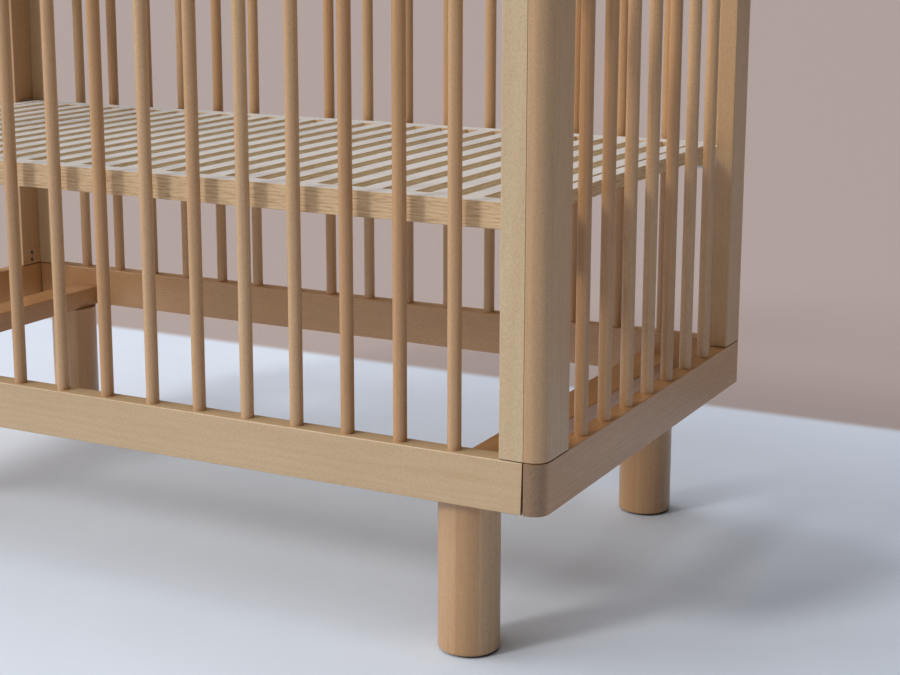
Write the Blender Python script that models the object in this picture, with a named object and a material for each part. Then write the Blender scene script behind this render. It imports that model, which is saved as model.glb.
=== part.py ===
"""Baby crib with round spindles, turned legs and a slatted mattress base that lifts out.

Metres, +Z up. The origin is on the floor under the middle of the crib. X runs along the crib with the
right-hand end at +X, and the front is at -Y. Four panels, each a bottom rail, a top rail, two uprights and
a row of spindles, make the cage. Two leg beams tie the long panels together near the ends and carry the
legs. The mattress base rests on four steel brackets and lifts straight up, out through the top.
"""

import math

import bmesh
import bpy
from mathutils import Matrix, Vector

# Outside of the whole crib.
LENGTH = 1.264
WIDTH = 0.676
HEIGHT = 0.884

# Panels. The end panels run the full width, and the long panels fit between them.
RAIL_HEIGHT = 0.061
RAIL_UNDERSIDE = 0.193
SIDE_THICKNESS = 0.027
END_THICKNESS = 0.024
STILE_WIDTH = 0.030
POST_WIDTH = 0.069
CORNER_RADIUS = 0.019
CORNER_STEPS = 6
EDGE_EASE = 0.0015

# Spindles: dowels glued into the bottom rail, whose upper ends sit in blind sockets in the top rail.
SPINDLE_DIAMETER = 0.016
SPINDLE_SIDES = 12
WIDEST_GAP = 0.055
TENON = 0.018
SOCKET_DEPTH = 0.016

# Legs, each turned in one piece with the step for its glide, and the beams that they screw into.
LEG_DIAMETER = 0.073
LEG_FROM_END = 0.118
LEG_FROM_SIDE = 0.058
LEG_EASE = 0.0025
LEG_SIDES = 32
GLIDE_DIAMETER = 0.062
GLIDE_THICKNESS = 0.002
BEAM_WIDTH = 0.052
BEAM_THICKNESS = 0.030

# Mattress base, at the highest of its levels.
BASE_TOP = 0.532
BASE_RAIL_HEIGHT = 0.030
BASE_RAIL_WIDTH = 0.028
BASE_END_WIDTH = 0.020
BASE_SIDE_PLAY = 0.006
BASE_END_PLAY = 0.0135
SLAT_COUNT = 27
SLAT_WIDTH = 0.023
SLAT_THICKNESS = 0.017
FIRST_SLAT_GAP = 0.004
SLAT_EASE = 0.001

# Base brackets: steel angles screwed to the posts, with insert holes for each level.
LEVEL_COUNT = 3
LEVEL_STEP = 0.125
BRACKET_STEEL = 0.003
BRACKET_WIDTH = 0.026
BRACKET_REACH = 0.045
BRACKET_RISE = 0.032
BRACKET_BEND = 0.004
BRACKET_HOLE = 0.0066
INSERT_HOLE = 0.008
INSERT_DEPTH = 0.013
INSERT_HEIGHTS = (0.010, 0.022)

# Panel bolts: each goes through a stile, with its head sunk, into the post beside it.
BOLT_HOLE = 0.0066
BOLT_HEAD_HOLE = 0.0135
BOLT_HEAD_DEPTH = 0.009
BOLT_POST_HOLE = 0.008
BOLT_POST_DEPTH = 0.016
BOLT_FROM_RAIL = 0.060
HOLE_SIDES = 12

# Gaps between pieces that meet, and round the end of a spindle in its socket.
SEAM = 0.0003
SOCKET_PLAY = 0.0003

RAIL_TOP = RAIL_UNDERSIDE + RAIL_HEIGHT
TOP_RAIL_UNDERSIDE = HEIGHT - RAIL_HEIGHT
END_INSIDE = LENGTH / 2 - END_THICKNESS
SIDE_INSIDE = WIDTH / 2 - SIDE_THICKNESS
BASE_UNDERSIDE = BASE_TOP - BASE_RAIL_HEIGHT
BASE_END = END_INSIDE - BASE_END_PLAY
BASE_SIDE = SIDE_INSIDE - BASE_SIDE_PLAY
BRACKET_Y = BASE_SIDE - BASE_RAIL_WIDTH / 2


def clear_scene():
    for obj in list(bpy.data.objects):
        bpy.data.objects.remove(obj, do_unlink=True)


def material(name, colour, roughness, metallic=0.0):
    made = bpy.data.materials.new(name)
    made.use_nodes = True
    shader = made.node_tree.nodes["Principled BSDF"]
    shader.inputs["Base Color"].default_value = (*colour, 1.0)
    shader.inputs["Roughness"].default_value = roughness
    shader.inputs["Metallic"].default_value = metallic
    return made


def add_object(name, shape, finish, place=(0.0, 0.0, 0.0), parent=None):
    """Links an object at a world place, under its parent if it has one."""
    shape.materials.clear()
    shape.materials.append(finish)
    obj = bpy.data.objects.new(name, shape)
    bpy.context.scene.collection.objects.link(obj)
    obj.location = Vector(place)
    if parent is not None:
        obj.parent = parent
        obj.location = Vector(place) - parent.location
    return obj


def mesh_from(shape, name):
    mesh = bpy.data.meshes.new(name)
    shape.to_mesh(mesh)
    shape.free()
    return mesh


def board_mesh(name, size, round_corners=()):
    """A board about its own centre. round_corners holds the (x, y) signs of the upright edges to round."""
    shape = bmesh.new()
    bmesh.ops.create_cube(shape, size=1.0)
    bmesh.ops.scale(shape, vec=Vector(size), verts=shape.verts)
    edges = [
        edge
        for edge in shape.edges
        if abs(edge.verts[0].co.z - edge.verts[1].co.z) > size[2] / 2
        and (math.copysign(1, edge.verts[0].co.x), math.copysign(1, edge.verts[0].co.y)) in round_corners
    ]
    if edges:
        bmesh.ops.bevel(
            shape,
            geom=edges,
            offset=CORNER_RADIUS,
            segments=CORNER_STEPS,
            profile=0.5,
            affect="EDGES",
            material=-1,
        )
    return mesh_from(shape, name)


def ease_edges(obj, width):
    bevel = obj.modifiers.new("eased_edges", "BEVEL")
    bevel.width = width
    bevel.segments = 1
    bevel.limit_method = "ANGLE"
    bevel.angle_limit = math.radians(40)


def add_board(name, low, high, finish, parent=None, round_corners=(), ease=EDGE_EASE):
    """A board with eased edges between two opposite corners, each given as (x, y, z)."""
    low = Vector(low)
    high = Vector(high)
    obj = add_object(name, board_mesh(name, high - low, round_corners), finish, (low + high) / 2, parent)
    ease_edges(obj, ease)
    return obj


def add_rods(name, diameter, starts, direction, length, sides):
    """Helper rods of one size in one mesh, to be joined to a board or cut out of it."""
    shape = bmesh.new()
    turn = Vector((0, 0, 1)).rotation_difference(Vector(direction)).to_matrix().to_4x4()
    for start in starts:
        middle = Vector(start) + Vector(direction) * length / 2
        bmesh.ops.create_cone(
            shape,
            cap_ends=True,
            segments=sides,
            radius1=diameter / 2,
            radius2=diameter / 2,
            depth=length,
            matrix=Matrix.Translation(middle) @ turn,
        )
    helper = bpy.data.objects.new(name, mesh_from(shape, name))
    bpy.context.scene.collection.objects.link(helper)
    helper.hide_render = True
    helper.display_type = "WIRE"
    return helper


def combine(obj, helper, operation):
    boolean = obj.modifiers.new(helper.name, "BOOLEAN")
    boolean.operation = operation
    boolean.solver = "EXACT"
    boolean.object = helper


def spindle_places(clear_span):
    """Centres of evenly spaced spindles, from the middle of the span, with no gap over WIDEST_GAP."""
    count = math.ceil((clear_span - WIDEST_GAP) / (WIDEST_GAP + SPINDLE_DIAMETER))
    gap = (clear_span - count * SPINDLE_DIAMETER) / (count + 1)
    pitch = gap + SPINDLE_DIAMETER
    return [(index - (count - 1) / 2) * pitch for index in range(count)]


def join_spindles(rail, places):
    """The dowels, glued into the bottom rail and standing up into the top rail's sockets."""
    starts = [(x, y, RAIL_TOP - TENON) for x, y in places]
    length = TOP_RAIL_UNDERSIDE + SOCKET_DEPTH - SOCKET_PLAY - (RAIL_TOP - TENON)
    spindles = add_rods(f"{rail.name}_dowels", SPINDLE_DIAMETER, starts, (0, 0, 1), length, SPINDLE_SIDES)
    combine(rail, spindles, "UNION")


def cut_sockets(rail, places):
    below = 0.001
    starts = [(x, y, TOP_RAIL_UNDERSIDE - below) for x, y in places]
    bore = SPINDLE_DIAMETER + 2 * SOCKET_PLAY
    sockets = add_rods(f"{rail.name}_sockets", bore, starts, (0, 0, 1), SOCKET_DEPTH + below, SPINDLE_SIDES)
    combine(rail, sockets, "DIFFERENCE")


def bolt_heights():
    return (RAIL_TOP + BOLT_FROM_RAIL, TOP_RAIL_UNDERSIDE - BOLT_FROM_RAIL)


def insert_heights():
    """Heights of the bracket screws at every level of the mattress base."""
    levels = [BASE_UNDERSIDE - level * LEVEL_STEP for level in range(LEVEL_COUNT)]
    return [level + height for level in levels for height in INSERT_HEIGHTS]


def add_side_panel(side, y_sign, finish):
    """A long panel, between the end panels: two rails, two flat stiles and its spindles."""
    inner_y = y_sign * SIDE_INSIDE
    outer_y = y_sign * WIDTH / 2
    low_y = min(inner_y, outer_y)
    high_y = max(inner_y, outer_y)
    middle_y = (low_y + high_y) / 2
    half = END_INSIDE - SEAM
    stile_inside = END_INSIDE - STILE_WIDTH
    places = [(x, middle_y) for x in spindle_places(2 * stile_inside)]
    bottom = add_board(
        f"{side}_bottom_rail_spindles",
        (-half, low_y, RAIL_UNDERSIDE),
        (half, high_y, RAIL_TOP),
        finish,
    )
    join_spindles(bottom, places)
    top = add_board(f"{side}_top_rail", (-half, low_y, TOP_RAIL_UNDERSIDE), (half, high_y, HEIGHT), finish)
    cut_sockets(top, places)
    for end, x_sign in (("left", -1), ("right", 1)):
        near = x_sign * stile_inside
        far = x_sign * half
        stile = add_board(
            f"{side}_{end}_stile",
            (min(near, far), low_y, RAIL_TOP + SEAM),
            (max(near, far), high_y, TOP_RAIL_UNDERSIDE - SEAM),
            finish,
        )
        cut_bolt_holes(stile, near, middle_y, x_sign)


def cut_bolt_holes(stile, face_x, y, x_sign):
    """Two stepped holes along X from the stile's inner edge: a clear hole, and a wider one for the head."""
    outward = (x_sign, 0, 0)
    before = 0.001
    starts = [(face_x - x_sign * before, y, z) for z in bolt_heights()]
    through = add_rods(f"{stile.name}_bolts", BOLT_HOLE, starts, outward, STILE_WIDTH + 2 * before, HOLE_SIDES)
    heads = add_rods(
        f"{stile.name}_heads", BOLT_HEAD_HOLE, starts, outward, BOLT_HEAD_DEPTH + before, HOLE_SIDES
    )
    combine(stile, through, "DIFFERENCE")
    combine(stile, heads, "DIFFERENCE")


def add_end_panel(end, x_sign, finish):
    """An end panel, the full width: two rails and two wide posts, rounded at the outer corners."""
    outer_x = x_sign * LENGTH / 2
    inner_x = x_sign * END_INSIDE
    low_x = min(outer_x, inner_x)
    high_x = max(outer_x, inner_x)
    middle_x = (low_x + high_x) / 2
    half = WIDTH / 2
    both = ((x_sign, -1), (x_sign, 1))
    places = [(middle_x, y) for y in spindle_places(2 * (half - POST_WIDTH))]
    bottom = add_board(
        f"{end}_end_bottom_rail_spindles",
        (low_x, -half, RAIL_UNDERSIDE),
        (high_x, half, RAIL_TOP),
        finish,
        round_corners=both,
    )
    join_spindles(bottom, places)
    top = add_board(
        f"{end}_end_top_rail",
        (low_x, -half, TOP_RAIL_UNDERSIDE),
        (high_x, half, HEIGHT),
        finish,
        round_corners=both,
    )
    cut_sockets(top, places)
    for side, y_sign in (("front", -1), ("rear", 1)):
        near = y_sign * (half - POST_WIDTH)
        far = y_sign * half
        post = add_board(
            f"{side}_{end}_post",
            (low_x, min(near, far), RAIL_TOP + SEAM),
            (high_x, max(near, far), TOP_RAIL_UNDERSIDE - SEAM),
            finish,
            round_corners=((x_sign, y_sign),),
        )
        cut_post_holes(post, inner_x, x_sign, y_sign)


def cut_post_holes(post, face_x, x_sign, y_sign):
    """Blind holes in the post's inner face: for the panel bolts, and for the brackets at each level."""
    outward = (x_sign, 0, 0)
    before = 0.001
    start_x = face_x - x_sign * before
    bolt_y = y_sign * (WIDTH - SIDE_THICKNESS) / 2
    bolts = [(start_x, bolt_y, z) for z in bolt_heights()]
    inserts = [(start_x, y_sign * BRACKET_Y, z) for z in insert_heights()]
    bolt_bores = add_rods(
        f"{post.name}_bolts", BOLT_POST_HOLE, bolts, outward, BOLT_POST_DEPTH + before, HOLE_SIDES
    )
    insert_bores = add_rods(
        f"{post.name}_inserts", INSERT_HOLE, inserts, outward, INSERT_DEPTH + before, HOLE_SIDES
    )
    combine(post, bolt_bores, "DIFFERENCE")
    combine(post, insert_bores, "DIFFERENCE")


def leg_mesh():
    """A round leg, spun about its axis from the glide on the floor up to the beam."""
    radius = LEG_DIAMETER / 2
    outline = [
        (0, 0),
        (GLIDE_DIAMETER / 2, 0),
        (GLIDE_DIAMETER / 2, GLIDE_THICKNESS),
        (radius - LEG_EASE, GLIDE_THICKNESS),
        (radius, GLIDE_THICKNESS + LEG_EASE),
        (radius, RAIL_UNDERSIDE - SEAM),
        (0, RAIL_UNDERSIDE - SEAM),
    ]
    shape = bmesh.new()
    points = [shape.verts.new((x, 0, z)) for x, z in outline]
    edges = [shape.edges.new(pair) for pair in zip(points, points[1:])]
    bmesh.ops.spin(
        shape,
        geom=points + edges,
        axis=(0, 0, 1),
        cent=(0, 0, 0),
        angle=2 * math.pi,
        steps=LEG_SIDES,
        use_merge=True,
    )
    bmesh.ops.remove_doubles(shape, verts=shape.verts, dist=0.00001)
    bmesh.ops.recalc_face_normals(shape, faces=shape.faces)
    mesh = mesh_from(shape, "leg")
    mesh.shade_smooth()
    mesh.set_sharp_from_angle(angle=math.radians(35))
    return mesh


def add_legs_and_beams(finish):
    """A beam across each end, level with the rails' undersides, with a leg under each of its ends."""
    shape = leg_mesh()
    for end, x_sign in (("left", -1), ("right", 1)):
        x = x_sign * (LENGTH / 2 - LEG_FROM_END)
        half_width = SIDE_INSIDE - SEAM
        add_board(
            f"{end}_leg_beam",
            (x - BEAM_WIDTH / 2, -half_width, RAIL_UNDERSIDE),
            (x + BEAM_WIDTH / 2, half_width, RAIL_UNDERSIDE + BEAM_THICKNESS),
            finish,
        )
        for side, y_sign in (("front", -1), ("rear", 1)):
            y = y_sign * (WIDTH / 2 - LEG_FROM_SIDE)
            add_object(f"{side}_{end}_leg", shape, finish, (x, y, 0))


def bracket_mesh(x_sign):
    """A bent steel angle: an upright against the post and a flat flange under the base rail."""
    near = -x_sign * SEAM
    steel = -x_sign * BRACKET_STEEL
    reach = -x_sign * BRACKET_REACH
    under = -SEAM
    outline = [
        (near, under - BRACKET_STEEL),
        (near + reach, under - BRACKET_STEEL),
        (near + reach, under),
        (near + steel, under),
        (near + steel, BRACKET_RISE),
        (near, BRACKET_RISE),
    ]
    shape = bmesh.new()
    face = shape.faces.new([shape.verts.new((x, -BRACKET_WIDTH / 2, z)) for x, z in outline])
    extruded = bmesh.ops.extrude_face_region(shape, geom=[face])["geom"]
    moved = [item for item in extruded if isinstance(item, bmesh.types.BMVert)]
    bmesh.ops.translate(shape, vec=(0, BRACKET_WIDTH, 0), verts=moved)
    bend = [
        edge
        for edge in shape.edges
        if all(
            abs(vert.co.x - outline[0][0]) < SEAM / 2 and abs(vert.co.z - outline[0][1]) < SEAM / 2
            for vert in edge.verts
        )
    ]
    bmesh.ops.bevel(
        shape, geom=bend, offset=BRACKET_BEND, segments=4, profile=0.5, affect="EDGES", material=-1
    )
    bmesh.ops.recalc_face_normals(shape, faces=shape.faces)
    return mesh_from(shape, "bracket")


def add_brackets(finish):
    for end, x_sign in (("left", -1), ("right", 1)):
        for side, y_sign in (("front", -1), ("rear", 1)):
            name = f"{side}_{end}_base_bracket"
            place = Vector((x_sign * END_INSIDE, y_sign * BRACKET_Y, BASE_UNDERSIDE))
            bracket = add_object(name, bracket_mesh(x_sign), finish, place)
            before = 0.001
            start_x = place.x + x_sign * before
            starts = [(start_x, place.y, place.z + height) for height in INSERT_HEIGHTS]
            length = SEAM + BRACKET_STEEL + 2 * before
            holes = add_rods(f"{name}_screws", BRACKET_HOLE, starts, (-x_sign, 0, 0), length, HOLE_SIDES)
            combine(bracket, holes, "DIFFERENCE")


def add_mattress_base(finish):
    """A frame of two long rails and two ends with cross slats, all level on top, on one lifting empty."""
    lift = bpy.data.objects.new("mattress_base_lift", None)
    bpy.context.scene.collection.objects.link(lift)
    lift.location = (0, 0, BASE_UNDERSIDE)
    inside = BASE_SIDE - BASE_RAIL_WIDTH
    for side, y_sign in (("front", -1), ("rear", 1)):
        low_y = min(y_sign * inside, y_sign * BASE_SIDE)
        add_board(
            f"{side}_base_rail",
            (-BASE_END, low_y, BASE_UNDERSIDE),
            (BASE_END, low_y + BASE_RAIL_WIDTH, BASE_TOP),
            finish,
            lift,
            ease=SLAT_EASE,
        )
    half_slat = inside - SEAM
    slat_low = BASE_TOP - SLAT_THICKNESS
    for end, x_sign in (("left", -1), ("right", 1)):
        low_x = min(x_sign * BASE_END, x_sign * (BASE_END - BASE_END_WIDTH))
        add_board(
            f"{end}_base_end",
            (low_x, -half_slat, slat_low),
            (low_x + BASE_END_WIDTH, half_slat, BASE_TOP),
            finish,
            lift,
            ease=SLAT_EASE,
        )
    slat = board_mesh("slat", (SLAT_WIDTH, 2 * half_slat, SLAT_THICKNESS))
    outermost = BASE_END - BASE_END_WIDTH - FIRST_SLAT_GAP - SLAT_WIDTH / 2
    for index in range(SLAT_COUNT):
        x = outermost * (2 * index / (SLAT_COUNT - 1) - 1)
        place = (x, 0, BASE_TOP - SLAT_THICKNESS / 2)
        ease_edges(add_object(f"slat_{index + 1:02d}", slat, finish, place, lift), SLAT_EASE)


clear_scene()
beech = material("beech_satin", (0.50, 0.34, 0.19), 0.45)
faced_plywood = material("plywood_white_faced", (0.76, 0.74, 0.70), 0.50)
steel = material("steel_zinc", (0.55, 0.56, 0.58), 0.35, 1.0)
add_side_panel("front", -1, beech)
add_side_panel("rear", 1, beech)
add_end_panel("left", -1, beech)
add_end_panel("right", 1, beech)
add_legs_and_beams(beech)
add_brackets(steel)
add_mattress_base(faced_plywood)
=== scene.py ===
import math
import random

import bmesh
import bpy
from mathutils import Euler, Matrix, Vector


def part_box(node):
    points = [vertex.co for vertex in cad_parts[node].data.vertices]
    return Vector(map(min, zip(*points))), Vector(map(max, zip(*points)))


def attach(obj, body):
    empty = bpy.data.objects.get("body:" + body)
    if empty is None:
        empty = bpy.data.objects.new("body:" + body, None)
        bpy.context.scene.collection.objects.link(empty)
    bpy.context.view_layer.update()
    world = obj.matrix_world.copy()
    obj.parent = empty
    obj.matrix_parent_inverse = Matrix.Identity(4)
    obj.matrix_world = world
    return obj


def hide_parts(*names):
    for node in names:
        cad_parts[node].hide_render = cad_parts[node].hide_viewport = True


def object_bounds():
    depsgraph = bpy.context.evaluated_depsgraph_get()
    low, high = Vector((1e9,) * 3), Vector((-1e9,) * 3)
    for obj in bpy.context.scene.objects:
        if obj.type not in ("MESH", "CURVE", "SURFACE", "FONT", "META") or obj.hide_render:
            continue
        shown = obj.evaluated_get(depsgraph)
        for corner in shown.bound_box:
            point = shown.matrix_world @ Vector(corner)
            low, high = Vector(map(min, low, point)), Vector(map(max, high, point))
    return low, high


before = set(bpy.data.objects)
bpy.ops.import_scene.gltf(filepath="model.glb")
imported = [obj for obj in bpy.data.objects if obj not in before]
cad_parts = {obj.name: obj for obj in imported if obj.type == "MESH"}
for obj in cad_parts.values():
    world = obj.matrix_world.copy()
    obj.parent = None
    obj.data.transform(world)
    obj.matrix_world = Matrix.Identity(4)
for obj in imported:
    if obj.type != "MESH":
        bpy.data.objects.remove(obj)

cad_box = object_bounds()

# The setting. A plain pale painted floor, cool near the crib and a warmer grey behind it. Daylight comes
# from the front left: a window, a wider and softer one at the side, and a broad bright ceiling. The view
# looks down a little at the crib's front right corner, where the posts, rails and a leg meet.
VIEW_FROM_CORNER = Vector((0.7531, -1.6740, 0.8351))
VIEW_TURN = 27.376
VIEW_DOWN = 12.003
VIEW_TILT = 0.121
VIEW_LENS = 70.89
VIEW_SHIFT = -0.05
FLOOR_SIZE = 80.0
BACKDROP_LINE = 0.845
BACKDROP_BLEND = 0.02
CLOUDS_PER_METRE = 5.0
FILL_STRENGTH = 0.02

# The sockets of a colour Mix node, whose names are shared with its other kinds.
FACTOR = 0
COLOUR_A = 6
COLOUR_B = 7
MIXED = 2


def linear(hex_code):
    """An sRGB hex colour as the linear colour that a shader or a light takes."""
    parts = [int(hex_code[place : place + 2], 16) / 255 for place in (1, 3, 5)]
    return [part / 12.92 if part <= 0.04045 else ((part + 0.055) / 1.055) ** 2.4 for part in parts]


def add_node(tree, kind, settings, links):
    """Adds a node. Each link names an input and gives it another node's output, or a plain value."""
    node = tree.nodes.new(kind)
    for name, value in settings.items():
        setattr(node, name, value)
    for name, value in links.items():
        if isinstance(value, bpy.types.NodeSocket):
            tree.links.new(value, node.inputs[name])
        else:
            node.inputs[name].default_value = value
    return node


def new_material(name):
    made = bpy.data.materials.new(name)
    made.use_nodes = True
    return made, made.node_tree, made.node_tree.nodes["Principled BSDF"]


def painted_floor():
    """Matt floor paint: cool pale grey with faint cloudy patches, warm grey beyond the backdrop line."""
    made, tree, shader = new_material("matt_floor_paint")
    place = add_node(tree, "ShaderNodeTexCoord", {}, {}).outputs["Object"]
    clouds = add_node(
        tree, "ShaderNodeTexNoise", {}, {"Vector": place, "Scale": CLOUDS_PER_METRE, "Detail": 5.0}
    )
    floor = add_node(
        tree,
        "ShaderNodeMix",
        {"data_type": "RGBA"},
        {
            FACTOR: clouds.outputs["Fac"],
            COLOUR_A: (*linear("#DBE6F4"), 1),
            COLOUR_B: (*linear("#E4EEFC"), 1),
        },
    )
    along = add_node(tree, "ShaderNodeSeparateXYZ", {}, {"Vector": place})
    beyond = add_node(
        tree,
        "ShaderNodeMapRange",
        {"interpolation_type": "SMOOTHSTEP"},
        {
            "Value": along.outputs["Y"],
            "From Min": BACKDROP_LINE - BACKDROP_BLEND,
            "From Max": BACKDROP_LINE + BACKDROP_BLEND,
        },
    )
    tone = add_node(
        tree,
        "ShaderNodeMix",
        {"data_type": "RGBA"},
        {FACTOR: beyond.outputs["Result"], COLOUR_B: (*linear("#B4A49F"), 1)},
    )
    tree.links.new(floor.outputs[MIXED], tone.inputs[COLOUR_A])
    tree.links.new(tone.outputs[MIXED], shader.inputs["Base Color"])
    shader.inputs["Roughness"].default_value = 0.8
    return made


corner = Vector((cad_box[1].x, cad_box[0].y, 0.0))
camera = bpy.data.objects.new("view", bpy.data.cameras.new("view"))
camera.data.lens = VIEW_LENS
camera.data.shift_y = VIEW_SHIFT
camera.location = corner + VIEW_FROM_CORNER
turned = Euler((math.radians(90 - VIEW_DOWN), 0, math.radians(VIEW_TURN))).to_matrix()
camera.rotation_euler = (turned @ Matrix.Rotation(math.radians(VIEW_TILT), 3, "Z")).to_euler()
bpy.context.scene.collection.objects.link(camera)
bpy.context.scene.camera = camera


def add_daylight(name, turn, rise, spread, strength, hex_code):
    """Soft light from one part of the room, a turn to the right of the crib's front and a rise above
    it. The spread is how many degrees wide the window or the ceiling looks from the crib."""
    light = bpy.data.lights.new(name, "SUN")
    light.angle = math.radians(spread)
    light.energy = strength
    light.color = linear(hex_code)
    level = math.cos(math.radians(rise))
    across = math.radians(turn)
    towards = Vector((math.sin(across) * level, -math.cos(across) * level, math.sin(math.radians(rise))))
    daylight = bpy.data.objects.new(name, light)
    daylight.location = towards * 4
    daylight.rotation_euler = (-towards).to_track_quat("-Z", "Y").to_euler()
    bpy.context.scene.collection.objects.link(daylight)


add_daylight("front_window", -32, 30, 12, 1.20, "#FFFCF7")
add_daylight("side_window", -82, 34, 60, 1.45, "#FFFDFD")
add_daylight("ceiling", -72, 64, 110, 1.80, "#F8F7FA")

room = bpy.data.worlds.new("room")
room.use_nodes = True
room.node_tree.nodes["Background"].inputs["Color"].default_value = (*linear("#F3DCC4"), 1)
room.node_tree.nodes["Background"].inputs["Strength"].default_value = FILL_STRENGTH
bpy.context.scene.world = room
bpy.context.scene.view_settings.view_transform = "Standard"

ground = bmesh.new()
bmesh.ops.create_grid(ground, x_segments=2, y_segments=2, size=FLOOR_SIZE / 2)
floor_mesh = bpy.data.meshes.new("floor")
ground.to_mesh(floor_mesh)
ground.free()
floor_mesh.materials.append(painted_floor())
floor = bpy.data.objects.new("floor", floor_mesh)
bpy.context.scene.collection.objects.link(floor)

# The two long bottom rails. Solid beech boards, 27 x 61 mm, planed, with eased edges and a satin
# lacquer. They fit between the end rails, and their ends are cut a hair out of square, so that the
# seam at each corner opens a little towards the underside. The spindles are glued into their tops.
SEAM = 0.0011
FREE_EDGE = 0.0016
TIGHT_EDGE = 0.0005
RAIL_END_GAP = 0.0009
RAIL_END_CLEARANCE = 0.0014
RING_SPACING = 0.0045
RING_CONTRAST = 0.16
FIBRE_CONTRAST = 0.40
BOARD_CONTRAST = 0.45
BOARD_WARMTH = 0.2
FLECK_CONTRAST = 0.26
FIBRE_WIDTH = 0.0011
FLECK_WIDTH = 0.0010
HEART_DISTANCES = (0.05, 0.14)
LOG_LENGTH = 6.0
NEAR = 0.00001
WARMTH_SPREAD = 0.08
GLUED_ACROSS = Vector((0.92, 0.39, 0))
timber = random.Random(11)


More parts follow.
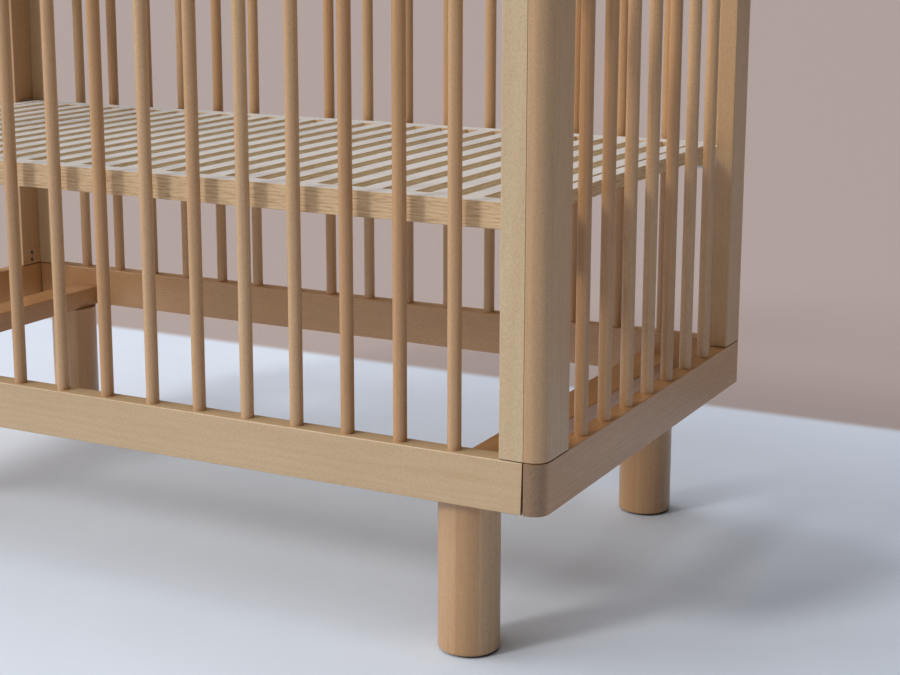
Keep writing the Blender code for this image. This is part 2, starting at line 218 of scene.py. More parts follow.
def satin_beech():
    """Steamed beech under satin lacquer: straw to warm orange from piece to piece, with faint growth
    rings, straight fibres and a speckle of dark ray flecks. The darker, warmer orange is partly the
    beech's own tone and partly painted shade, given to pieces that are seen in shade. Cut ends soak up
    lacquer and look much darker. The rings come about 4.5 mm apart, and the fibres and flecks are drawn
    about 1 mm wide, a few times coarser than the real ones, which are too fine to show."""
    made, tree, shader = new_material("satin_beech")
    grain = add_node(tree, "ShaderNodeAttribute", {"attribute_name": "grain"}, {}).outputs["Vector"]
    wander = add_node(tree, "ShaderNodeMapping", {}, {"Vector": grain, "Scale": (0.10, 1.0, 1.0)})
    rings = add_node(
        tree,
        "ShaderNodeTexWave",
        {"wave_type": "RINGS", "rings_direction": "X", "wave_profile": "SIN"},
        {
            "Vector": wander.outputs["Vector"],
            "Scale": 2 * math.pi / (20 * RING_SPACING),
            "Distortion": 9.0,
            "Detail": 2.0,
            "Detail Scale": 0.35,
            "Detail Roughness": 0.5,
        },
    )
    broad = add_node(tree, "ShaderNodeMapping", {}, {"Vector": grain, "Scale": (2.5, 14.0, 14.0)})
    patches = add_node(
        tree, "ShaderNodeTexNoise", {}, {"Vector": broad.outputs["Vector"], "Scale": 1.0, "Detail": 3.0}
    )
    fine = add_node(
        tree,
        "ShaderNodeMapping",
        {},
        {"Vector": grain, "Scale": (0.04 / FIBRE_WIDTH, 0.5 / FIBRE_WIDTH, 0.5 / FIBRE_WIDTH)},
    )
    fibres = add_node(
        tree, "ShaderNodeTexNoise", {}, {"Vector": fine.outputs["Vector"], "Scale": 1.0, "Detail": 2.0}
    )
    short = add_node(
        tree,
        "ShaderNodeMapping",
        {},
        {"Vector": grain, "Scale": (0.40 / FLECK_WIDTH, 0.5 / FLECK_WIDTH, 0.5 / FLECK_WIDTH)},
    )
    dashes = add_node(
        tree, "ShaderNodeTexNoise", {}, {"Vector": short.outputs["Vector"], "Scale": 1.0, "Detail": 1.0}
    )
    flecks = add_node(
        tree,
        "ShaderNodeMapRange",
        {},
        {"Value": dashes.outputs["Fac"], "From Min": 0.36, "From Max": 0.70},
    )
    ring_tone = add_node(
        tree,
        "ShaderNodeMath",
        {"operation": "MULTIPLY_ADD"},
        {0: rings.outputs["Fac"], 1: RING_CONTRAST, 2: patches.outputs["Fac"]},
    )
    tone = add_node(
        tree,
        "ShaderNodeMath",
        {"operation": "MULTIPLY_ADD"},
        {0: fibres.outputs["Fac"], 1: FIBRE_CONTRAST, 2: ring_tone.outputs["Value"]},
    )
    layer = add_node(tree, "ShaderNodeAttribute", {"attribute_name": "layer"}, {}).outputs["Fac"]
    board = add_node(tree, "ShaderNodeMath", {"operation": "FLOOR"}, {0: layer})
    board_tone = add_node(
        tree, "ShaderNodeTexWhiteNoise", {"noise_dimensions": "1D"}, {"W": board.outputs["Value"]}
    ).outputs["Value"]
    toned = add_node(
        tree,
        "ShaderNodeMath",
        {"operation": "MULTIPLY_ADD"},
        {0: board_tone, 1: BOARD_CONTRAST, 2: tone.outputs["Value"]},
    )
    depth = add_node(
        tree,
        "ShaderNodeMapRange",
        {},
        {"Value": toned.outputs["Value"], "From Min": 0.50, "From Max": 1.55},
    )
    straw = add_node(
        tree,
        "ShaderNodeMix",
        {"data_type": "RGBA"},
        {
            FACTOR: depth.outputs["Result"],
            COLOUR_A: (*linear("#D2BC9A"), 1),
            COLOUR_B: (*linear("#BCA27C"), 1),
        },
    )
    orange = add_node(
        tree,
        "ShaderNodeMix",
        {"data_type": "RGBA"},
        {
            FACTOR: depth.outputs["Result"],
            COLOUR_A: (*linear("#C8935F"), 1),
            COLOUR_B: (*linear("#AA7440"), 1),
        },
    )
    own = add_node(tree, "ShaderNodeAttribute", {"attribute_name": "tone_and_shade"}, {}).outputs["Fac"]
    tone_and_shade = add_node(
        tree, "ShaderNodeMath", {"operation": "MULTIPLY_ADD"}, {0: board_tone, 1: BOARD_WARMTH, 2: own}
    )
    timber_tone = add_node(tree, "ShaderNodeMix", {"data_type": "RGBA"}, {FACTOR: tone_and_shade.outputs["Value"]})
    tree.links.new(straw.outputs[MIXED], timber_tone.inputs[COLOUR_A])
    tree.links.new(orange.outputs[MIXED], timber_tone.inputs[COLOUR_B])
    fleck_depth = add_node(
        tree, "ShaderNodeMath", {"operation": "MULTIPLY"}, {0: flecks.outputs["Result"], 1: FLECK_CONTRAST}
    )
    flecked = add_node(
        tree,
        "ShaderNodeMix",
        {"data_type": "RGBA"},
        {FACTOR: fleck_depth.outputs["Value"], COLOUR_B: (*linear("#94714B"), 1)},
    )
    tree.links.new(timber_tone.outputs[MIXED], flecked.inputs[COLOUR_A])
    across = add_node(tree, "ShaderNodeAttribute", {"attribute_name": "end_grain"}, {}).outputs["Fac"]
    soaked = add_node(
        tree,
        "ShaderNodeMapRange",
        {"interpolation_type": "SMOOTHSTEP"},
        {"Value": across, "From Min": 0.04, "From Max": 0.60},
    )
    cut_fibres = add_node(
        tree,
        "ShaderNodeMix",
        {"data_type": "RGBA"},
        {
            FACTOR: dashes.outputs["Fac"],
            COLOUR_A: (*linear("#A07E5C"), 1),
            COLOUR_B: (*linear("#6E533A"), 1),
        },
    )
    ended = add_node(
        tree,
        "ShaderNodeMix",
        {"data_type": "RGBA"},
        {FACTOR: soaked.outputs["Result"], COLOUR_B: cut_fibres.outputs[MIXED]},
    )
    tree.links.new(flecked.outputs[MIXED], ended.inputs[COLOUR_A])
    tree.links.new(ended.outputs[MIXED], shader.inputs["Base Color"])
    gloss = add_node(
        tree,
        "ShaderNodeMapRange",
        {},
        {"Value": fibres.outputs["Fac"], "From Min": 0.3, "From Max": 0.7, "To Min": 0.32, "To Max": 0.42},
    )
    tree.links.new(gloss.outputs["Result"], shader.inputs["Roughness"])
    relief = add_node(
        tree,
        "ShaderNodeBump",
        {},
        {"Height": fibres.outputs["Fac"], "Strength": 0.12, "Distance": 0.0003},
    )
    tree.links.new(relief.outputs["Normal"], shader.inputs["Normal"])
    shader.inputs["IOR"].default_value = 1.5
    shader.inputs["Coat Weight"].default_value = 0.3
    shader.inputs["Coat Roughness"].default_value = 0.25
    return made


def ease(shape, edges, radius, steps=3):
    """Rounds some edges to a radius."""
    bmesh.ops.bevel(
        shape, geom=edges, offset=radius, segments=steps, profile=0.5, affect="EDGES", material=-1
    )


def edges_at(shape, place):
    """The edges whose points all lie at a place, given as {axis: coordinate}."""
    return [
        edge
        for edge in shape.edges
        if all(abs(point.co[axis] - value) < NEAR for point in edge.verts for axis, value in place.items())
    ]


def board_shape(low, high, axis, corners=None, rims=(TIGHT_EDGE, TIGHT_EDGE)):
    """A board between two opposite corners. First its four edges along the axis are rounded, to the
    free edge's radius or to one in corners, which is {(sign, sign): (radius, steps)} in the other two
    directions, and then the rims of its low and high ends."""
    shape = bmesh.new()
    bmesh.ops.create_cube(shape, size=1.0)
    bmesh.ops.scale(shape, vec=high - low, verts=shape.verts)
    bmesh.ops.translate(shape, vec=(low + high) / 2, verts=shape.verts)
    first, second = [other for other in range(3) if other != axis]
    for signs in ((-1, -1), (-1, 1), (1, -1), (1, 1)):
        radius, steps = (corners or {}).get(signs, (FREE_EDGE, 3))
        place = {
            first: high[first] if signs[0] > 0 else low[first],
            second: high[second] if signs[1] > 0 else low[second],
        }
        ease(shape, edges_at(shape, place), radius, steps)
    ease(shape, edges_at(shape, {axis: low[axis]}), rims[0], 2)
    ease(shape, edges_at(shape, {axis: high[axis]}), rims[1], 2)
    return shape


def lay_grain(mesh, along, tone_and_shade, glued):
    """Stores where each point grew in the tree, as the attribute grain: metres along the trunk, then
    two distances from its heart. Each piece is cut from its own place in the log. The attribute warmth
    holds its tone, from pale straw at 0 to darker warm orange at 1: partly the piece's own tone and
    partly painted shade, higher on pieces that are seen in shade. The attribute end_grain is 1 where
    all the faces at a point cut straight across the fibres, and 0 where one of them runs along the
    fibres. glued is the thickness of the boards that a thick piece is glued up from, and the attribute
    layer counts them across the piece."""
    heart = timber.uniform(*HEART_DISTANCES)
    turn = timber.uniform(0, 2 * math.pi)
    start = timber.uniform(0, LOG_LENGTH)
    first, second = [axis for axis in range(3) if axis != along]
    points = [vertex.co for vertex in mesh.vertices]
    middle = sum(points, Vector()) / len(points)
    grain = mesh.attributes.new("grain", "FLOAT_VECTOR", "POINT")
    for value, point in zip(grain.data, points):
        place = point - middle
        value.vector = (
            start + place[along],
            place[first] + heart * math.cos(turn),
            place[second] + heart * math.sin(turn),
        )
    tone = mesh.attributes.new("tone_and_shade", "FLOAT", "POINT")
    own = tone_and_shade - BOARD_WARMTH / 2 + timber.uniform(-WARMTH_SPREAD, WARMTH_SPREAD)
    tone.data.foreach_set("value", [own] * len(points))
    layer = mesh.attributes.new("layer", "FLOAT", "POINT")
    first_board = timber.randrange(1, 400)
    across_boards = [(point - middle).dot(GLUED_ACROSS) / glued if glued else 0.0 for point in points]
    layer.data.foreach_set("value", [first_board + 0.5 + place for place in across_boards])
    across = [1.0] * len(points)
    for face in mesh.polygons:
        for index in face.vertices:
            across[index] = min(across[index], abs(face.normal[along]))
    mesh.attributes.new("end_grain", "FLOAT", "POINT").data.foreach_set("value", across)


def add_piece(name, shape, finishes, along, tone_and_shade=0.0, glued=None):
    """Makes a shape a finished object, with its grain along an axis and smooth, even shading."""
    mesh = bpy.data.meshes.new(name)
    for face in shape.faces:
        face.smooth = True
    shape.to_mesh(mesh)
    shape.free()
    mesh.set_sharp_from_angle(angle=math.radians(40))
    lay_grain(mesh, along, tone_and_shade, glued)
    for finish in finishes:
        mesh.materials.append(finish)
    piece = bpy.data.objects.new(name, mesh)
    bpy.context.scene.collection.objects.link(piece)
    shading = piece.modifiers.new("even_shading", "WEIGHTED_NORMAL")
    shading.keep_sharp = True
    return piece


beech = satin_beech()
rail_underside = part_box("front_bottom_rail_spindles")[0].z
rail_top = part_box("front_right_stile")[0].z - SEAM
for side in ("front", "rear"):
    node = f"{side}_bottom_rail_spindles"
    low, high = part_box(node)
    shape = board_shape(low, Vector((high.x, high.y, rail_top)), axis=0)
    for point in shape.verts:
        if abs(point.co.x) > high.x - 2 * FREE_EDGE:
            drop = (rail_top - point.co.z) / (rail_top - rail_underside)
            point.co.x -= math.copysign(RAIL_END_GAP + RAIL_END_CLEARANCE * drop, point.co.x)
    # The rear rail is set far warmer and darker than the front one. This is partly its own tone and partly
    # painted shade, because its face is seen in shade under the mattress base.
    tone_and_shade = 0.14 if side == "front" else 0.85
    rail = add_piece(f"{side}_bottom_rail", shape, [beech], along=0, tone_and_shade=tone_and_shade)
    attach(rail, "crib_frame")
    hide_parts(node)

# The two end bottom rails. Beech boards, 24 x 61 mm, the full width of the crib, with the corners that
# show turned to a 19 mm radius on a shaper. Glued and dowelled to the long rails' ends.
CORNER_RADIUS = 0.019
CORNER_STEPS = 14
END_RAIL_EASE = 0.0010


def end_corners(x_sign):
    """The rounding of an end rail's upright edges: large outside, tight where the long rails meet it."""
    outside = (CORNER_RADIUS, CORNER_STEPS)
    inside = (TIGHT_EDGE, 2)
    return {(x_sign, -1): outside, (x_sign, 1): outside, (-x_sign, -1): inside, (-x_sign, 1): inside}


for end, x_sign in (("left", -1), ("right", 1)):
    node = f"{end}_end_bottom_rail_spindles"
    low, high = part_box(node)
    top = Vector((high.x, high.y, rail_top))
    rims = (END_RAIL_EASE, END_RAIL_EASE)
    shape = board_shape(low, top, axis=2, corners=end_corners(x_sign), rims=rims)
    # The end rails get the darkest orange. This is partly their own tone and partly painted shade on their
    # outer faces, which turn away from the light.
    rail = add_piece(f"{end}_end_bottom_rail", shape, [beech], along=1, tone_and_shade=1.0)
    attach(rail, "crib_frame")
    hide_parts(node)

# The leg beams. Flat beech boards, 52 x 30 mm, housed between the long rails and level with their
# undersides. They tie the two sides together, and a leg screws up into each of their ends.
for end in ("left", "right"):
    node = f"{end}_leg_beam"
    # A dark orange for the beams. This is partly their own tone and partly painted shade, because they sit
    # in shade under the mattress base.
    beam = add_piece(f"{end}_beam", board_shape(*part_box(node), axis=1), [beech], along=1, tone_and_shade=0.9)
    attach(beam, "crib_frame")
    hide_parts(node)

# The four legs. Round beech, 73 mm across, glued up from three boards, turned with a soft rim at the
# foot, and screwed up into the beams. Under each sits a thin pressed felt glide, a little smaller, so
# that a shadow line shows where the leg meets the floor.
LEG_STEPS = 72
FOOT_EASE = 0.0035
FOOT_STEPS = 5
HEAD_EASE = 0.0006
GLIDE_RADIUS = 0.031
GLIDE_THICKNESS = 0.002
GLIDE_EASE = 0.0005
FELT_FIBRE = 0.0012
LEG_BOARD = 0.027


def turned_shape(outline, centre, steps):
    """An outline of (radius, height) points, from axis to axis, spun about an upright axis."""
    shape = bmesh.new()
    points = [shape.verts.new((centre.x + radius, centre.y, height)) for radius, height in outline]
    edges = [shape.edges.new(pair) for pair in zip(points, points[1:])]
    bmesh.ops.spin(
        shape,
        geom=points + edges,
        axis=(0, 0, 1),
        cent=centre,
        angle=2 * math.pi,
        steps=steps,
        use_merge=True,
    )
    bmesh.ops.remove_doubles(shape, verts=shape.verts, dist=0.000001)
    bmesh.ops.recalc_face_normals(shape, faces=shape.faces)
    return shape


def wool_felt():
    """Pressed wool felt: dull grey brown, quite rough, with a loose fibre mottle about 1 mm across."""
    made, tree, shader = new_material("pressed_felt")
    place = add_node(tree, "ShaderNodeTexCoord", {}, {}).outputs["Object"]
    wool = add_node(
        tree, "ShaderNodeTexNoise", {}, {"Vector": place, "Scale": 1 / FELT_FIBRE, "Detail": 3.0}
    )
    tone = add_node(
        tree,
        "ShaderNodeMix",
        {"data_type": "RGBA"},
        {
            FACTOR: wool.outputs["Fac"],
            COLOUR_A: (*linear("#4E463E"), 1),
            COLOUR_B: (*linear("#7A7066"), 1),
        },
    )
    tree.links.new(tone.outputs[MIXED], shader.inputs["Base Color"])
    relief = add_node(
        tree, "ShaderNodeBump", {}, {"Height": wool.outputs["Fac"], "Strength": 0.5, "Distance": 0.0003}
    )
    tree.links.new(relief.outputs["Normal"], shader.inputs["Normal"])
    shader.inputs["Roughness"].default_value = 0.95
    return made


felt = wool_felt()
quarter = [math.pi / 2 * step / FOOT_STEPS for step in range(FOOT_STEPS + 1)]
for side in ("front", "rear"):
    for end in ("left", "right"):
        node = f"{side}_{end}_leg"
        low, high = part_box(node)
        centre = Vector(((low.x + high.x) / 2, (low.y + high.y) / 2, 0))
        radius = (high.x - low.x) / 2
        foot = [
            (
                radius - FOOT_EASE + FOOT_EASE * math.sin(angle),
                GLIDE_THICKNESS + FOOT_EASE - FOOT_EASE * math.cos(angle),
            )
            for angle in quarter
        ]
        head = [(radius, high.z - HEAD_EASE), (radius - HEAD_EASE, high.z), (0, high.z)]
        outline = [(0, GLIDE_THICKNESS), *foot, *head]
        shape = turned_shape(outline, centre, LEG_STEPS)
        leg = add_piece(f"{side}_{end}_turned_leg", shape, [beech], 2, tone_and_shade=0.65, glued=LEG_BOARD)
        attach(leg, "crib_frame")
        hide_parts(node)
        outline = [
            (0, 0),
            (GLIDE_RADIUS - GLIDE_EASE, 0),
            (GLIDE_RADIUS, GLIDE_EASE),
            (GLIDE_RADIUS, GLIDE_THICKNESS),
            (0, GLIDE_THICKNESS),
        ]
        glide = add_piece(f"{side}_{end}_glide", turned_shape(outline, centre, LEG_STEPS), [felt], along=2)
        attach(glide, "crib_frame")
        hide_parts(node)

# The spindles. Straight 16 mm beech dowels, sixteen to each long side and seven to each end, glued
# into the bottom rails and let into blind sockets in the top rails. No gap is wider than 55 mm.
SPINDLE_RADIUS = 0.008
SPINDLE_STEPS = 40
WIDEST_GAP = 0.055
TENON = 0.018
SOCKET_DEPTH = 0.0155
TENON_EASE = 0.0010
top_rail_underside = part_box("front_top_rail")[0].z


def spindle_places(clear_span):
    """Centres of evenly spaced spindles, measured from the middle of the span between two uprights."""
    width = 2 * SPINDLE_RADIUS
    count = math.ceil((clear_span - WIDEST_GAP) / (WIDEST_GAP + width))
    pitch = (clear_span - count * width) / (count + 1) + width
    return [(index - (count - 1) / 2) * pitch for index in range(count)]


def add_spindle(name, x, y, node):
    """A dowel upright at (x, y), with an eased tenon in the bottom rail and another in the top rail."""
    foot = rail_top - TENON
    head = top_rail_underside + SOCKET_DEPTH
    outline = [
        (0, foot),
        (SPINDLE_RADIUS - TENON_EASE, foot),
        (SPINDLE_RADIUS, foot + TENON_EASE),
        (SPINDLE_RADIUS, head - TENON_EASE),
        (SPINDLE_RADIUS - TENON_EASE, head),
        (0, head),
    ]
    spindle = add_piece(name, turned_shape(outline, Vector((x, y, 0)), SPINDLE_STEPS), [beech], 2, 0.70)
    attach(spindle, "crib_frame")
    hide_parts(node)


for side in ("front", "rear"):
    low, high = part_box(f"{side}_right_stile")
    for index, x in enumerate(spindle_places(2 * low.x)):
        name = f"{side}_spindle_{index + 1:02d}"
        add_spindle(name, x, (low.y + high.y) / 2, f"{side}_bottom_rail_spindles")
for end in ("left", "right"):
    low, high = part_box(f"rear_{end}_post")
    for index, y in enumerate(spindle_places(2 * low.y)):
        name = f"{end}_end_spindle_{index + 1}"
        add_spindle(name, (low.x + high.x) / 2, y, f"{end}_end_bottom_rail_spindles")

# The four stiles. Beech boards, 30 mm wide, at the ends of the long sides, between the rails. Each has
# two stepped holes from its inner edge, where the panel bolts go through into the post beside it.
BOLT_FROM_RAIL = 0.060
BOLT_RADIUS = 0.0033
BOLT_HEAD_RADIUS = 0.00675
BOLT_HEAD_DEPTH = 0.009
BORE_STEPS = 32
BEFORE = 0.001
bolt_heights = (rail_top + BOLT_FROM_RAIL, top_rail_underside - BOLT_FROM_RAIL)


def rods_shape(starts, x_sign, length, radius):
    """Round rods along X, from each start towards the given end of the crib."""
    shape = bmesh.new()
    lying = Matrix.Rotation(math.pi / 2, 4, "Y")
    for start in starts:
        bmesh.ops.create_cone(
            shape,
            cap_ends=True,
            segments=BORE_STEPS,
            radius1=radius,
            radius2=radius,
            depth=length,
            matrix=Matrix.Translation(start + Vector((x_sign * length / 2, 0, 0))) @ lying,
        )
    return shape


def bored(shape, rods):
    """The shape with rods drilled out of it."""
    helpers = []
    for name, part in (("board", shape), ("drill", rods)):
        mesh = bpy.data.meshes.new(name)
        part.to_mesh(mesh)
        part.free()
        helpers.append(bpy.data.objects.new(name, mesh))
        bpy.context.scene.collection.objects.link(helpers[-1])
    drilling = helpers[0].modifiers.new("drilling", "BOOLEAN")
    drilling.operation = "DIFFERENCE"
    drilling.solver = "EXACT"
    drilling.object = helpers[1]
    result = bmesh.new()
    result.from_object(helpers[0], bpy.context.evaluated_depsgraph_get())
    for helper in helpers:
        bpy.data.objects.remove(helper, do_unlink=True)
    return result


for side in ("front", "rear"):
    for end, x_sign in (("left", -1), ("right", 1)):
        node = f"{side}_{end}_stile"
        low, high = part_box(node)
        seam_side = {(x_sign, -1): (TIGHT_EDGE, 2), (x_sign, 1): (TIGHT_EDGE, 2)}
        inner_edge = low.x if x_sign > 0 else high.x
        starts = [Vector((inner_edge - x_sign * BEFORE, (low.y + high.y) / 2, z)) for z in bolt_heights]
        shape = board_shape(low, high, axis=2, corners=seam_side)
        shape = bored(shape, rods_shape(starts, x_sign, high.x - low.x + 2 * BEFORE, BOLT_RADIUS))
        shape = bored(shape, rods_shape(starts, x_sign, BOLT_HEAD_DEPTH + BEFORE, BOLT_HEAD_RADIUS))
        stile = add_piece(f"{side}_{end}_side_stile", shape, [beech], along=2, tone_and_shade=0.1)
        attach(stile, "crib_frame")
        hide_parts(node)

# The four posts. Beech boards, 69 mm wide, at the ends of the end panels, with the outer corner turned
# to the same radius as the rails above and below. Their inner faces are drilled for the panel bolts
# and, at three levels, for the threaded inserts that the base brackets screw to.
INSERT_RADIUS = 0.004
INSERT_DEPTH = 0.013
BOLT_POST_RADIUS = 0.004
BOLT_POST_DEPTH = 0.016
LEVEL_COUNT = 3
LEVEL_STEP = 0.125
INSERT_HEIGHTS = (0.010, 0.022)
base_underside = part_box("front_base_rail")[0].z
insert_heights = [
    base_underside - level * LEVEL_STEP + height
    for level in range(LEVEL_COUNT)
    for height in INSERT_HEIGHTS
]

for side, y_sign in (("front", -1), ("rear", 1)):
    stile_low, stile_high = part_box(f"{side}_right_stile")
    bracket_low, bracket_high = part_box(f"{side}_right_base_bracket")
    bolt_y = (stile_low.y + stile_high.y) / 2
    insert_y = (bracket_low.y + bracket_high.y) / 2
    for end, x_sign in (("left", -1), ("right", 1)):
        node = f"{side}_{end}_post"
        low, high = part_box(node)
        face = (low.x if x_sign > 0 else high.x) - x_sign * BEFORE
        corners = {(x_sign, y_sign): (CORNER_RADIUS, CORNER_STEPS), (-x_sign, y_sign): (TIGHT_EDGE, 2)}
        shape = board_shape(low, high, axis=2, corners=corners)
        starts = [Vector((face, bolt_y, z)) for z in bolt_heights]
        shape = bored(shape, rods_shape(starts, x_sign, BOLT_POST_DEPTH + BEFORE, BOLT_POST_RADIUS))
        starts = [Vector((face, insert_y, z)) for z in insert_heights]
        shape = bored(shape, rods_shape(starts, x_sign, INSERT_DEPTH + BEFORE, INSERT_RADIUS))
        post = add_piece(f"{side}_{end}_corner_post", shape, [beech], along=2, tone_and_shade=0.50)
        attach(post, "crib_frame")
        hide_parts(node)

# The four top rails. The same boards as the bottom rails, with a softer upper edge, because hands and
# small teeth reach it. The spindles' heads reach up into their undersides.
HAND_EDGE = 0.003
for side in ("front", "rear"):
    node = f"{side}_top_rail"
    softer = {(-1, 1): (HAND_EDGE, 5), (1, 1): (HAND_EDGE, 5)}
    shape = board_shape(*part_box(node), axis=0, corners=softer)
    rail = add_piece(f"{side}_upper_rail", shape, [beech], along=0, tone_and_shade=0.3)
    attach(rail, "crib_frame")
    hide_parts(node)
for end, x_sign in (("left", -1), ("right", 1)):
    node = f"{end}_end_top_rail"
    rims = (END_RAIL_EASE, HAND_EDGE)
    shape = board_shape(*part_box(node), axis=2, corners=end_corners(x_sign), rims=rims)
    rail = add_piece(f"{end}_end_upper_rail", shape, [beech], along=1, tone_and_shade=0.5)
    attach(rail, "crib_frame")
    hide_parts(node)

# The panel bolts and the base fittings. Zinc-plated steel: eight bolts with sunk socket heads, four
# bent brackets with two button-head screws each, and threaded inserts at the two levels not in use.
HEAD_RADIUS = 0.0062
HEAD_HEIGHT = 0.0065
HEAD_EDGE = 0.0006
SHANK_RADIUS = 0.0029
BOLT_LENGTH = 0.034
SOCKET_ACROSS = 0.0046
SOCKET_HOLLOW = 0.0032
ZINC_SPANGLE = 0.002


def zinc_steel():
    """Bright zinc plate on steel: cool light grey metal, satin, with a faint cloudy spangle of 2 mm."""
    made, tree, shader = new_material("zinc_plated_steel")
    place = add_node(tree, "ShaderNodeTexCoord", {}, {}).outputs["Object"]
    spangle = add_node(
        tree, "ShaderNodeTexNoise", {}, {"Vector": place, "Scale": 1 / ZINC_SPANGLE, "Detail": 2.0}
    )
    tone = add_node(
        tree,
        "ShaderNodeMix",
        {"data_type": "RGBA"},
        {
            FACTOR: spangle.outputs["Fac"],
            COLOUR_A: (*linear("#B4B8BC"), 1),
            COLOUR_B: (*linear("#D2D5D8"), 1),
        },
    )
    tree.links.new(tone.outputs[MIXED], shader.inputs["Base Color"])
    gloss = add_node(
        tree,
        "ShaderNodeMapRange",
        {},
        {"Value": spangle.outputs["Fac"], "From Min": 0.3, "From Max": 0.7, "To Min": 0.28, "To Max": 0.42},
    )
    tree.links.new(gloss.outputs["Result"], shader.inputs["Roughness"])
    shader.inputs["Metallic"].default_value = 1.0
    return made


def socket_screw(face, x_sign, radius, height, length, dome):
    """A socket-head screw along X. face is the middle of its head's outer face, and its shank points
    towards the given end of the crib. dome rounds the head's rim."""
    shape = bmesh.new()
    rings = []
    for steps, across in ((6, SOCKET_ACROSS / math.sqrt(3)), (24, radius)):
        made = bmesh.ops.create_circle(shape, segments=steps, radius=across)
        rings.append(list({edge for point in made["verts"] for edge in point.link_edges}))
    bmesh.ops.bridge_loops(shape, edges=rings[0] + rings[1])
    hollow = bmesh.ops.extrude_edge_only(shape, edges=rings[0])["geom"]
    low_ring = [item for item in hollow if isinstance(item, bmesh.types.BMVert)]
    bmesh.ops.translate(shape, vec=(0, 0, -SOCKET_HOLLOW), verts=low_ring)
    bmesh.ops.contextual_create(shape, geom=low_ring)
    rim = rings[1]
    for across, drop in ((radius, height), (SHANK_RADIUS, 0), (SHANK_RADIUS, length)):
        grown = bmesh.ops.extrude_edge_only(shape, edges=rim)["geom"]
        points = [item for item in grown if isinstance(item, bmesh.types.BMVert)]
        rim = [item for item in grown if isinstance(item, bmesh.types.BMEdge)]
        rim = [edge for edge in rim if all(point in points for point in edge.verts)]
        for point in points:
            outward = Vector((point.co.x, point.co.y, 0)).normalized() * across
            point.co = Vector((outward.x, outward.y, point.co.z - drop))
    bmesh.ops.contextual_create(shape, geom=list({point for edge in rim for point in edge.verts}))
    upper = [
        edge
        for edge in shape.edges
        if all(abs(point.co.z) < NEAR and point.co.xy.length > radius - NEAR for point in edge.verts)
    ]
    ease(shape, upper, dome, 4)
    bmesh.ops.recalc_face_normals(shape, faces=shape.faces)
    lying = Matrix.Rotation(-x_sign * math.pi / 2, 4, "Y")
    bmesh.ops.transform(shape, matrix=Matrix.Translation(face) @ lying, verts=shape.verts)
    return shape


steel = zinc_steel()
for side in ("front", "rear"):
    for end, x_sign in (("left", -1), ("right", 1)):
        low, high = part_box(f"{side}_{end}_stile")
        inner_edge = low.x if x_sign > 0 else high.x
        sunk = BOLT_HEAD_DEPTH - HEAD_HEIGHT
        for place, z in zip(("lower", "upper"), bolt_heights):
            face = Vector((inner_edge + x_sign * sunk, (low.y + high.y) / 2, z))
            shape = socket_screw(face, x_sign, HEAD_RADIUS, HEAD_HEIGHT, BOLT_LENGTH, HEAD_EDGE)
            bolt = add_piece(f"{side}_{end}_{place}_panel_bolt", shape, [steel], along=0)
            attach(bolt, "crib_frame")

# The base brackets: each is a 3 mm steel angle, bent cold, with rounded corners. Its upright is
# screwed to the post's inner face, and the mattress base rests loose on its flange.
BRACKET_STEEL = 0.003
BRACKET_CORNER = 0.006
BEND_INSIDE = 0.002
BUTTON_RADIUS = 0.0052
BUTTON_HEIGHT = 0.0028
BUTTON_DOME = 0.0016
BUTTON_LENGTH = 0.014
INSERT_WALL = 0.0012
INSERT_SUNK = 0.0004
INSERT_SLACK = 0.0002


def bracket_shape(low, high, x_sign):
    """A strip bent to an L: along the flange, round the bend and up the post's face."""
    wall = high.x if x_sign > 0 else low.x
    free = low.x if x_sign > 0 else high.x
    shape = bmesh.new()
    outline = [
        (free, low.z),
        (wall, low.z),
        (wall, high.z),
        (wall - x_sign * BRACKET_STEEL, high.z),
        (wall - x_sign * BRACKET_STEEL, low.z + BRACKET_STEEL),
        (free, low.z + BRACKET_STEEL),
    ]
    face = shape.faces.new([shape.verts.new((x, low.y, z)) for x, z in outline])
    grown = bmesh.ops.extrude_face_region(shape, geom=[face])["geom"]
    points = [item for item in grown if isinstance(item, bmesh.types.BMVert)]
    bmesh.ops.translate(shape, vec=(0, high.y - low.y, 0), verts=points)
    ease(shape, edges_at(shape, {0: wall, 2: low.z}), BEND_INSIDE + BRACKET_STEEL, 6)
    inside = {0: wall - x_sign * BRACKET_STEEL, 2: low.z + BRACKET_STEEL}
    ease(shape, edges_at(shape, inside), BEND_INSIDE, 6)
    for y in (low.y, high.y):
        ease(shape, edges_at(shape, {0: free, 1: y}), BRACKET_CORNER, 6)
        ease(shape, edges_at(shape, {1: y, 2: high.z}), BRACKET_CORNER, 6)
    bmesh.ops.recalc_face_normals(shape, faces=shape.faces)
    return shape


def insert_shape(face, x_sign):
    """A threaded insert: a short steel tube, a hair below the wood, open towards the crib's inside."""
    length = INSERT_DEPTH - INSERT_SUNK - INSERT_SLACK
    shape = rods_shape([face], x_sign, length, INSERT_RADIUS - INSERT_SLACK)
    start = face - Vector((x_sign * BEFORE, 0, 0))
    return bored(shape, rods_shape([start], x_sign, INSERT_DEPTH - BEFORE, INSERT_RADIUS - INSERT_WALL))


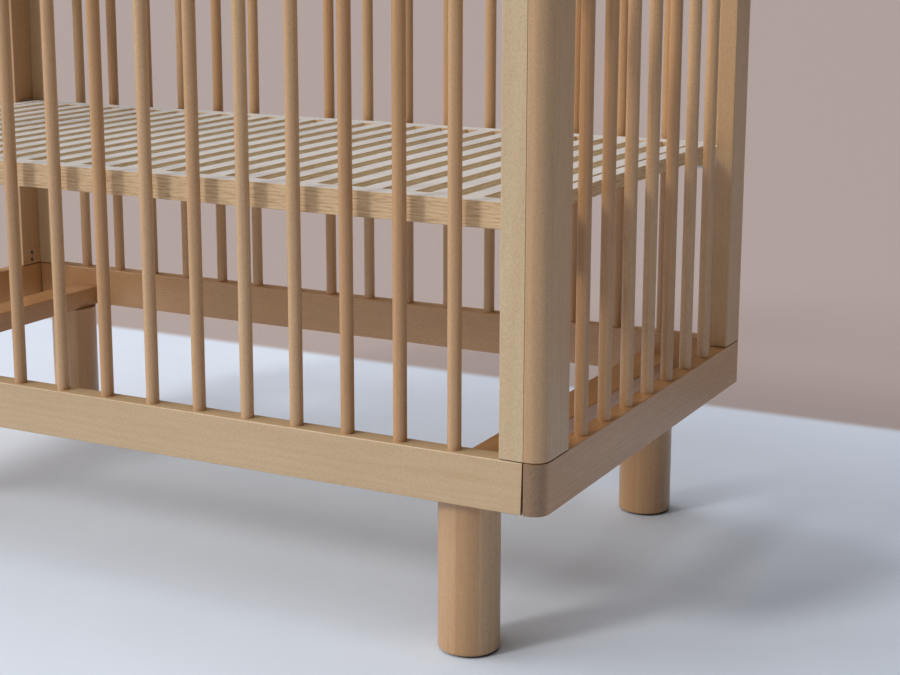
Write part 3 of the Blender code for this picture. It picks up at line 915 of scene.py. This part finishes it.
for side in ("front", "rear"):
    for end, x_sign in (("left", -1), ("right", 1)):
        node = f"{side}_{end}_base_bracket"
        low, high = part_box(node)
        bracket = add_piece(f"{side}_{end}_bracket", bracket_shape(low, high, x_sign), [steel], along=0)
        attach(bracket, "crib_frame")
        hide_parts(node)
        y = (low.y + high.y) / 2
        wall = high.x if x_sign > 0 else low.x
        upright_face = wall - x_sign * BRACKET_STEEL
        post_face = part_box(f"{side}_{end}_post")[0 if x_sign > 0 else 1].x
        for index, z in enumerate(insert_heights):
            level, place = divmod(index, len(INSERT_HEIGHTS))
            if level == 0:
                face = Vector((upright_face - x_sign * BUTTON_HEIGHT, y, z))
                shape = socket_screw(face, x_sign, BUTTON_RADIUS, BUTTON_HEIGHT, BUTTON_LENGTH, BUTTON_DOME)
                screw = add_piece(f"{side}_{end}_bracket_screw_{place + 1}", shape, [steel], along=0)
                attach(screw, "crib_frame")
            else:
                shape = insert_shape(Vector((post_face + x_sign * INSERT_SUNK, y, z)), x_sign)
                insert = add_piece(f"{side}_{end}_insert_{index - 1}", shape, [steel], along=0)
                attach(insert, "crib_frame")

# The mattress base. Rails, ends and twenty-seven slats sawn from plywood with a white film on its
# upper face, dowelled and glued with their tops level. The sawn edges show the plies under a clear
# lacquer. It rests on the brackets and lifts straight out.
PLY_THICKNESS = 0.0021
PLY_EASE = 0.0007
PLY_STREAK = 0.0009
PLY_RIPPLE = 0.3
PORE_CONTRAST = 0.55


def white_film():
    """White melamine film: a slightly warm off-white, satin, with a very faint pressed-in mottle."""
    made, tree, shader = new_material("white_melamine_film")
    place = add_node(tree, "ShaderNodeTexCoord", {}, {}).outputs["Object"]
    mottle = add_node(tree, "ShaderNodeTexNoise", {}, {"Vector": place, "Scale": 60.0, "Detail": 3.0})
    tone = add_node(
        tree,
        "ShaderNodeMix",
        {"data_type": "RGBA"},
        {
            FACTOR: mottle.outputs["Fac"],
            COLOUR_A: (*linear("#E0DEDB"), 1),
            COLOUR_B: (*linear("#E9E8E5"), 1),
        },
    )
    tree.links.new(tone.outputs[MIXED], shader.inputs["Base Color"])
    shader.inputs["Roughness"].default_value = 0.42
    return made


def ply_edge(name, pale, dark_ply, pore):
    """The sawn edge of plywood under clear lacquer: level plies about 2 mm thick, one a little lighter
    and one a little darker, broken up by short dark pores that run along the edge."""
    made, tree, shader = new_material(name)
    place = add_node(tree, "ShaderNodeTexCoord", {}, {}).outputs["Object"]
    ripple = add_node(tree, "ShaderNodeTexNoise", {}, {"Vector": place, "Scale": 14.0, "Detail": 2.0})
    height = add_node(tree, "ShaderNodeSeparateXYZ", {}, {"Vector": place})
    wavy = add_node(
        tree,
        "ShaderNodeMath",
        {"operation": "MULTIPLY_ADD"},
        {0: ripple.outputs["Fac"], 1: PLY_THICKNESS * PLY_RIPPLE, 2: height.outputs["Z"]},
    )
    count = add_node(
        tree,
        "ShaderNodeMath",
        {"operation": "MULTIPLY"},
        {0: wavy.outputs["Value"], 1: 0.5 / PLY_THICKNESS},
    )
    layer = add_node(tree, "ShaderNodeMath", {"operation": "PINGPONG"}, {0: count.outputs["Value"], 1: 0.5})
    plies = add_node(
        tree,
        "ShaderNodeMapRange",
        {},
        {"Value": layer.outputs["Value"], "From Min": 0.15, "From Max": 0.35},
    )
    grain = add_node(tree, "ShaderNodeAttribute", {"attribute_name": "grain"}, {}).outputs["Vector"]
    short = add_node(
        tree,
        "ShaderNodeMapping",
        {},
        {"Vector": grain, "Scale": (0.05 / PLY_STREAK, 0.5 / PLY_STREAK, 0.5 / PLY_STREAK)},
    )
    pores = add_node(
        tree, "ShaderNodeTexNoise", {}, {"Vector": short.outputs["Vector"], "Scale": 1.0, "Detail": 2.0}
    )
    dark = add_node(
        tree,
        "ShaderNodeMapRange",
        {},
        {"Value": pores.outputs["Fac"], "From Min": 0.48, "From Max": 0.72},
    )
    tone = add_node(
        tree,
        "ShaderNodeMix",
        {"data_type": "RGBA"},
        {FACTOR: plies.outputs["Result"], COLOUR_A: (*linear(pale), 1), COLOUR_B: (*linear(dark_ply), 1)},
    )
    depth = add_node(
        tree, "ShaderNodeMath", {"operation": "MULTIPLY"}, {0: dark.outputs["Result"], 1: PORE_CONTRAST}
    )
    pored = add_node(
        tree,
        "ShaderNodeMix",
        {"data_type": "RGBA"},
        {FACTOR: depth.outputs["Value"], COLOUR_B: (*linear(pore), 1)},
    )
    tree.links.new(tone.outputs[MIXED], pored.inputs[COLOUR_A])
    tree.links.new(pored.outputs[MIXED], shader.inputs["Base Color"])
    shader.inputs["Roughness"].default_value = 0.5
    return made


def add_ply_board(name, node, axis, edge_finish):
    """A board of the mattress base, its length along an axis, with the white film on its top face."""
    low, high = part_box(node)
    tight = {signs: (PLY_EASE, 2) for signs in ((-1, -1), (-1, 1), (1, -1), (1, 1))}
    shape = board_shape(low, high, axis, corners=tight)
    for face in shape.faces:
        face.normal_update()
        face.material_index = 1 if face.normal.z > 0.99 else 0
    board = add_piece(name, shape, [edge_finish, film], along=axis)
    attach(board, "mattress_base")
    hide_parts(node)


beech_ply = ply_edge("beech_plywood_edge", "#DBBE96", "#D3B389", "#96693F")
# The slats' sawn edges are drawn paler than the rails' edges. This is painted light, for the light that the
# white tops bounce onto the slats' sides.
birch_ply = ply_edge("birch_plywood_edge", "#EBDDC0", "#E2D0AE", "#BFA37C")
film = white_film()
for side in ("front", "rear"):
    add_ply_board(f"{side}_mattress_rail", f"{side}_base_rail", 0, beech_ply)
for end in ("left", "right"):
    add_ply_board(f"{end}_mattress_end", f"{end}_base_end", 1, beech_ply)
slat_nodes = sorted(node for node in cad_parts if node.startswith("slat_"))
for node in slat_nodes:
    add_ply_board(f"mattress_{node}", node, 1, birch_ply)
